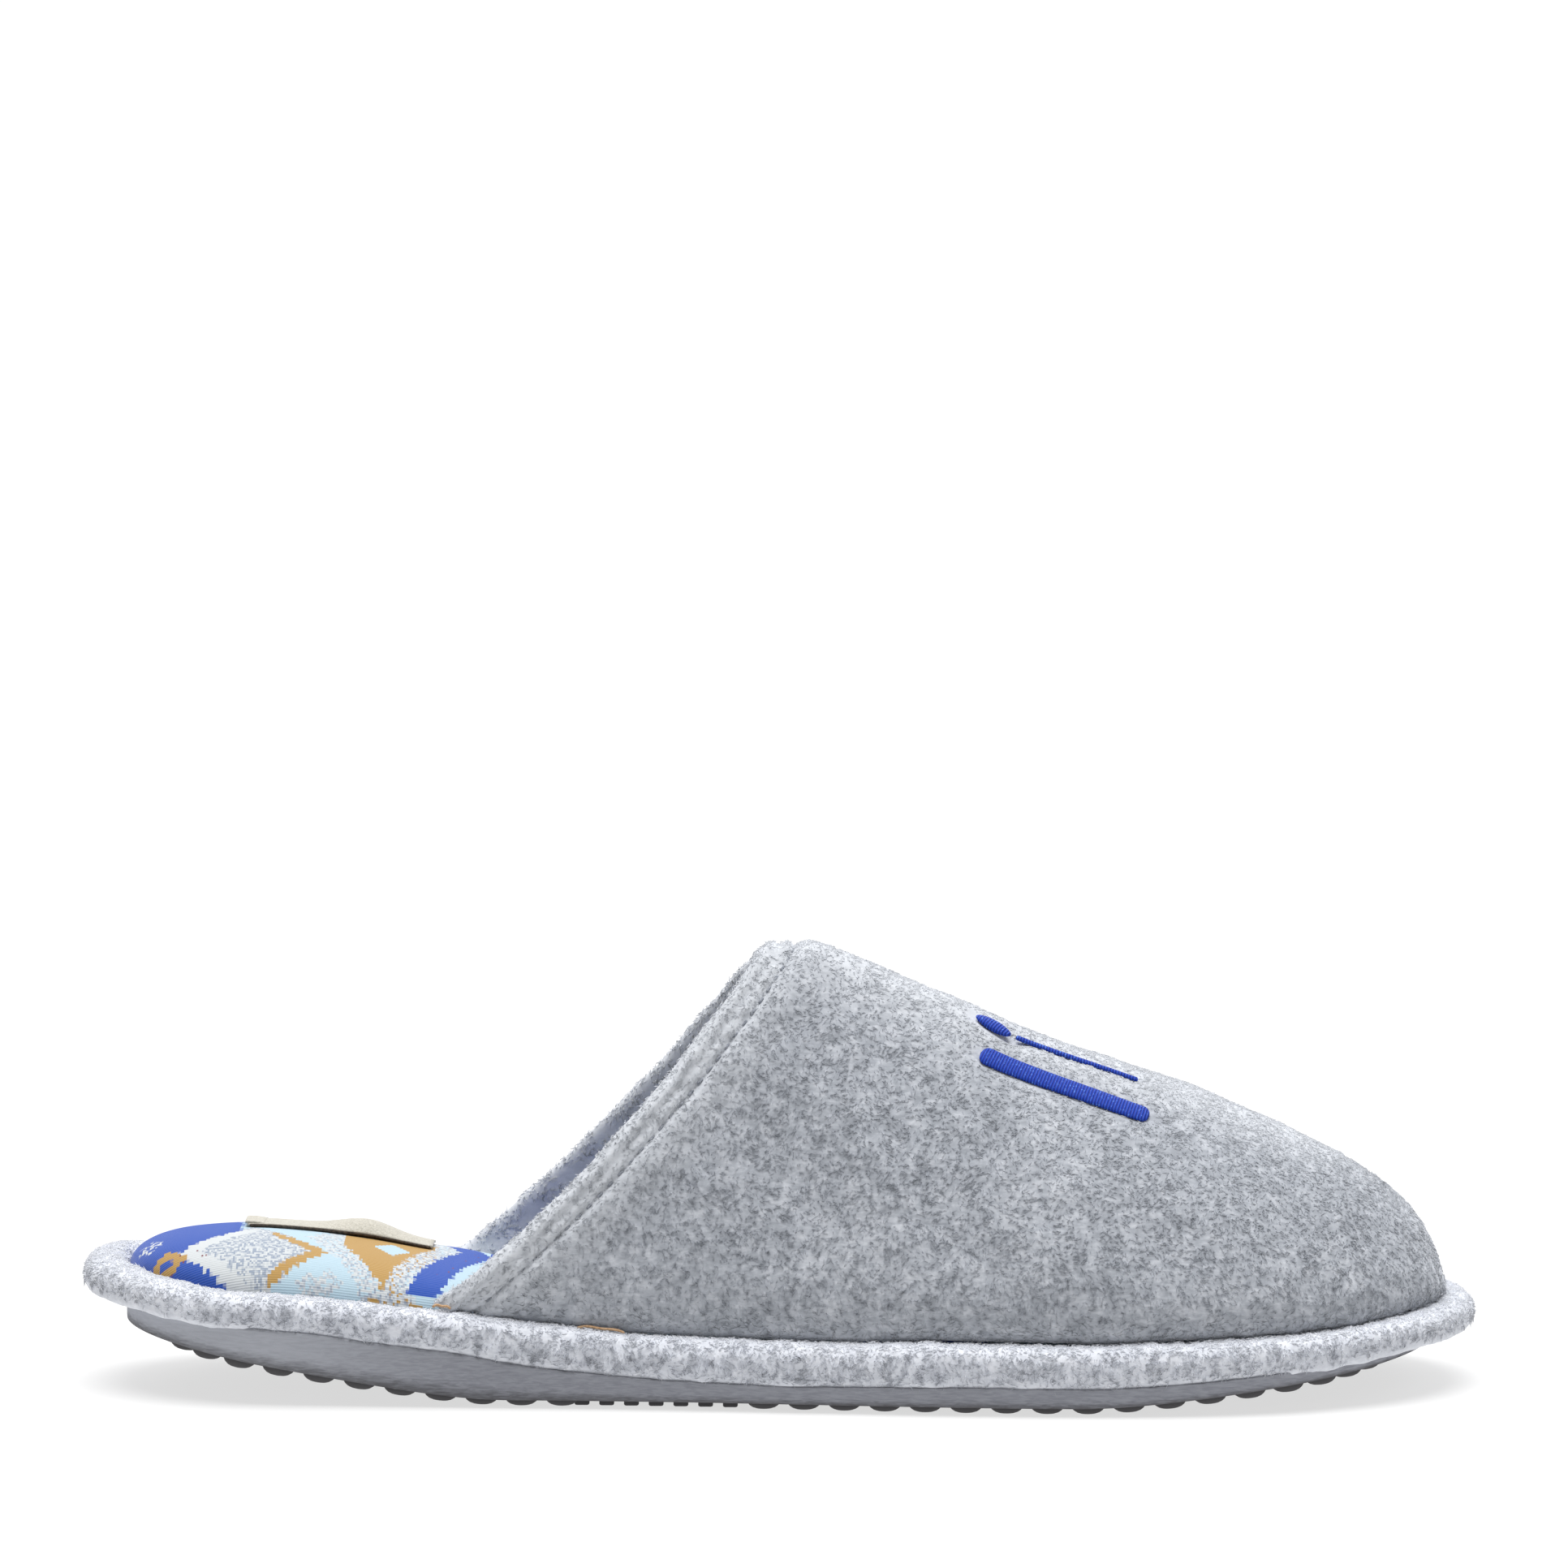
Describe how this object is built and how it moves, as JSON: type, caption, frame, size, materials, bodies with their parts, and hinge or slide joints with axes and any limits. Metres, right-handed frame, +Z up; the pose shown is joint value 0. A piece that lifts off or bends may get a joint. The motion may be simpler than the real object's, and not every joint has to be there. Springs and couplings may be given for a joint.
{
  "type": "scuff slipper",
  "caption": "Open-backed house slipper for the right foot: plush vamp with a stitched collar hem, plush edge binding, thick padded sock and studded sole.",
  "frame": {"origin": "on the floor, under the middle of the slipper's box", "axes": "+X from heel to toe, +Y towards the inner side of the right foot, +Z up"},
  "size_m": [0.2848, 0.1047, 0.0908],
  "materials": {
    "plush_upper": "short-nap grey plush",
    "plush_binding": "curly light grey plush",
    "printed_cotton": "fine ribbed cotton with a blue, ochre and white print",
    "label_cloth": "plain cream woven cloth",
    "sole_rubber": "matt, finely brushed grey"
  },
  "bodies": {
    "root": {"upper": "plush_upper", "edge_binding": "plush_binding", "insole": "printed_cotton", "insole_label": "label_cloth", "outsole": "sole_rubber"}
  },
  "joints": []
}
